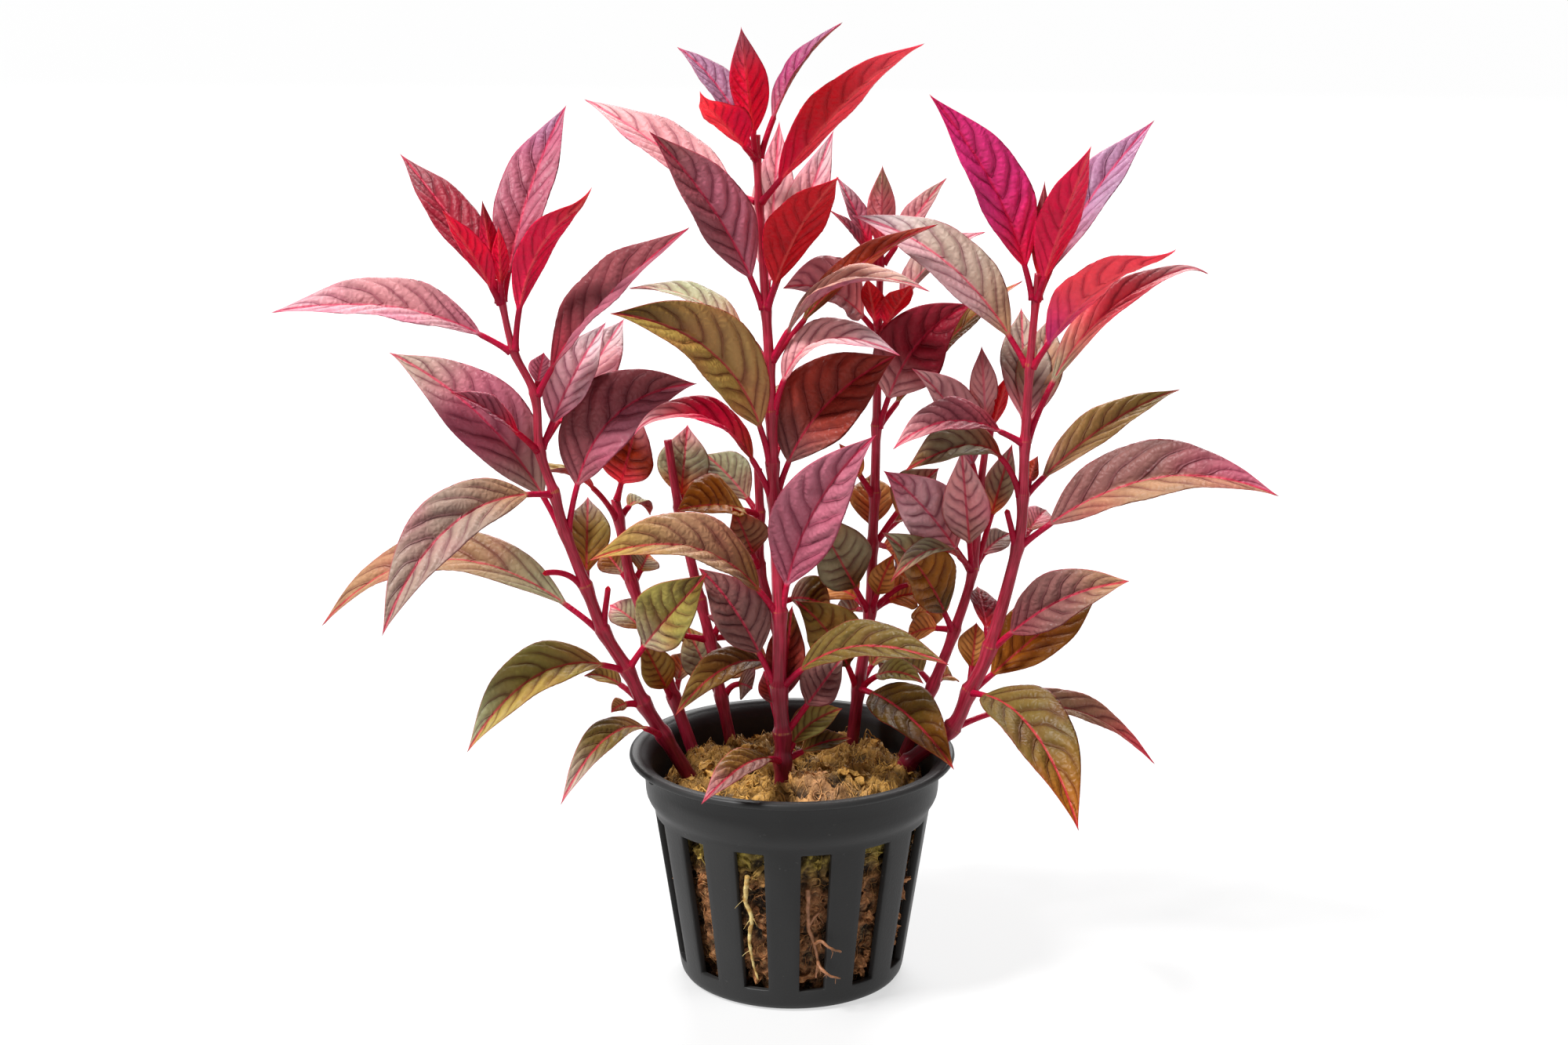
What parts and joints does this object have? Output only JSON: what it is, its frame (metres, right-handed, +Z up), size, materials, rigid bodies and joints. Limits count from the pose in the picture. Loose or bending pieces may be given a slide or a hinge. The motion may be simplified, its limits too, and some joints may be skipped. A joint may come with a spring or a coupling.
{
  "type": "sessile joyweed",
  "caption": "Bunch of red, pink and olive leafy aquarium stems planted in fibre in a slotted black net pot, standing on the pot's flat foot.",
  "frame": {"origin": "centre of the underside of the pot's foot, where it stands on the floor", "axes": "+Z up along the pot's axis, -Y towards the viewer in the picture, +X to the viewer's right"},
  "size_m": [0.1505, 0.071, 0.1525],
  "materials": {
    "fibre": "matte",
    "leaf_bronze": "satin",
    "leaf_brown_rose": "satin",
    "leaf_coral": "satin",
    "leaf_crimson": "satin",
    "leaf_dark_crimson": "satin",
    "leaf_dusky": "satin",
    "leaf_golden": "satin",
    "leaf_green": "satin",
    "leaf_lilac": "satin",
    "leaf_magenta": "satin",
    "leaf_mauve": "satin",
    "leaf_olive": "satin",
    "leaf_pale_olive": "satin",
    "leaf_pale_pink": "satin",
    "leaf_plum": "satin",
    "leaf_rose": "satin",
    "leaf_silver": "satin",
    "pot_plastic": "satin",
    "root_brown_skin": "matte",
    "root_pale_skin": "satin",
    "stem_red": "satin"
  },
  "bodies": {
    "root": {"pot": "pot_plastic", "growing_medium": "fibre", "root_pale": "root_pale_skin", "root_brown": "root_brown_skin", "stem_front_left": "stem_red", "leaf_left_low_brown": "leaf_brown_rose", "leaf_left_green_fold": "leaf_green", "leaf_left_green_upright": "leaf_green", "leaf_left_olive_arch": "leaf_olive", "leaf_left_bronze_wide": "leaf_bronze", "leaf_left_plum_wide": "leaf_plum", "leaf_left_drooping": "leaf_bronze", "leaf_left_silver": "leaf_silver", "leaf_left_plum_up": "leaf_plum", "leaf_left_long_pink": "leaf_rose", "leaf_left_crimson_front": "leaf_crimson", "leaf_left_top_dark": "leaf_dark_crimson", "leaf_left_top_mauve": "leaf_mauve", "stem_front_centre": "stem_red", "leaf_centre_low_rose": "leaf_brown_rose", "leaf_centre_dusky_left": "leaf_dusky", "leaf_centre_olive_right": "leaf_olive", "leaf_centre_bronze_arch": "leaf_bronze", "leaf_centre_mauve_front": "leaf_mauve", "leaf_centre_red_curl": "leaf_coral", "leaf_centre_maroon_wide": "leaf_dusky", "leaf_centre_olive_gold": "leaf_golden", "leaf_centre_rose_arch": "leaf_rose", "leaf_centre_pale_arch": "leaf_pale_olive", "leaf_centre_pink_arch": "leaf_rose", "leaf_centre_plum_up": "leaf_plum", "leaf_centre_red_up": "leaf_coral", "leaf_centre_red_long": "leaf_coral", "leaf_centre_pink_left": "leaf_pale_pink", "leaf_centre_pale_back": "leaf_pale_pink", "stem_front_right": "stem_red", "leaf_right_low_rose": "leaf_rose", "leaf_right_hanging_olive": "leaf_olive", "leaf_right_olive_wide": "leaf_olive", "leaf_right_purple": "leaf_mauve", "leaf_right_long_bronze": "leaf_bronze", "leaf_right_olive_slim": "leaf_olive", "leaf_right_bronze_slim": "leaf_bronze", "leaf_right_plum_arch": "leaf_plum", "leaf_right_coral": "leaf_coral", "leaf_right_silver_long": "leaf_silver", "leaf_right_top_magenta": "leaf_magenta", "leaf_right_top_crimson": "leaf_crimson", "leaf_right_top_lilac": "leaf_lilac", "stem_back_right": "stem_red", "leaf_back_right_over_rim": "leaf_olive", "leaf_back_right_maroon": "leaf_dusky", "leaf_back_right_far": "leaf_olive", "stem_mid_right": "stem_red", "leaf_mid_right_green": "leaf_green", "leaf_mid_right_mauve": "leaf_mauve", "leaf_mid_right_rose": "leaf_rose", "stem_back_left_inner": "stem_red", "stem_back_left_outer": "stem_red", "stem_back_centre": "stem_red"}
  },
  "joints": []
}
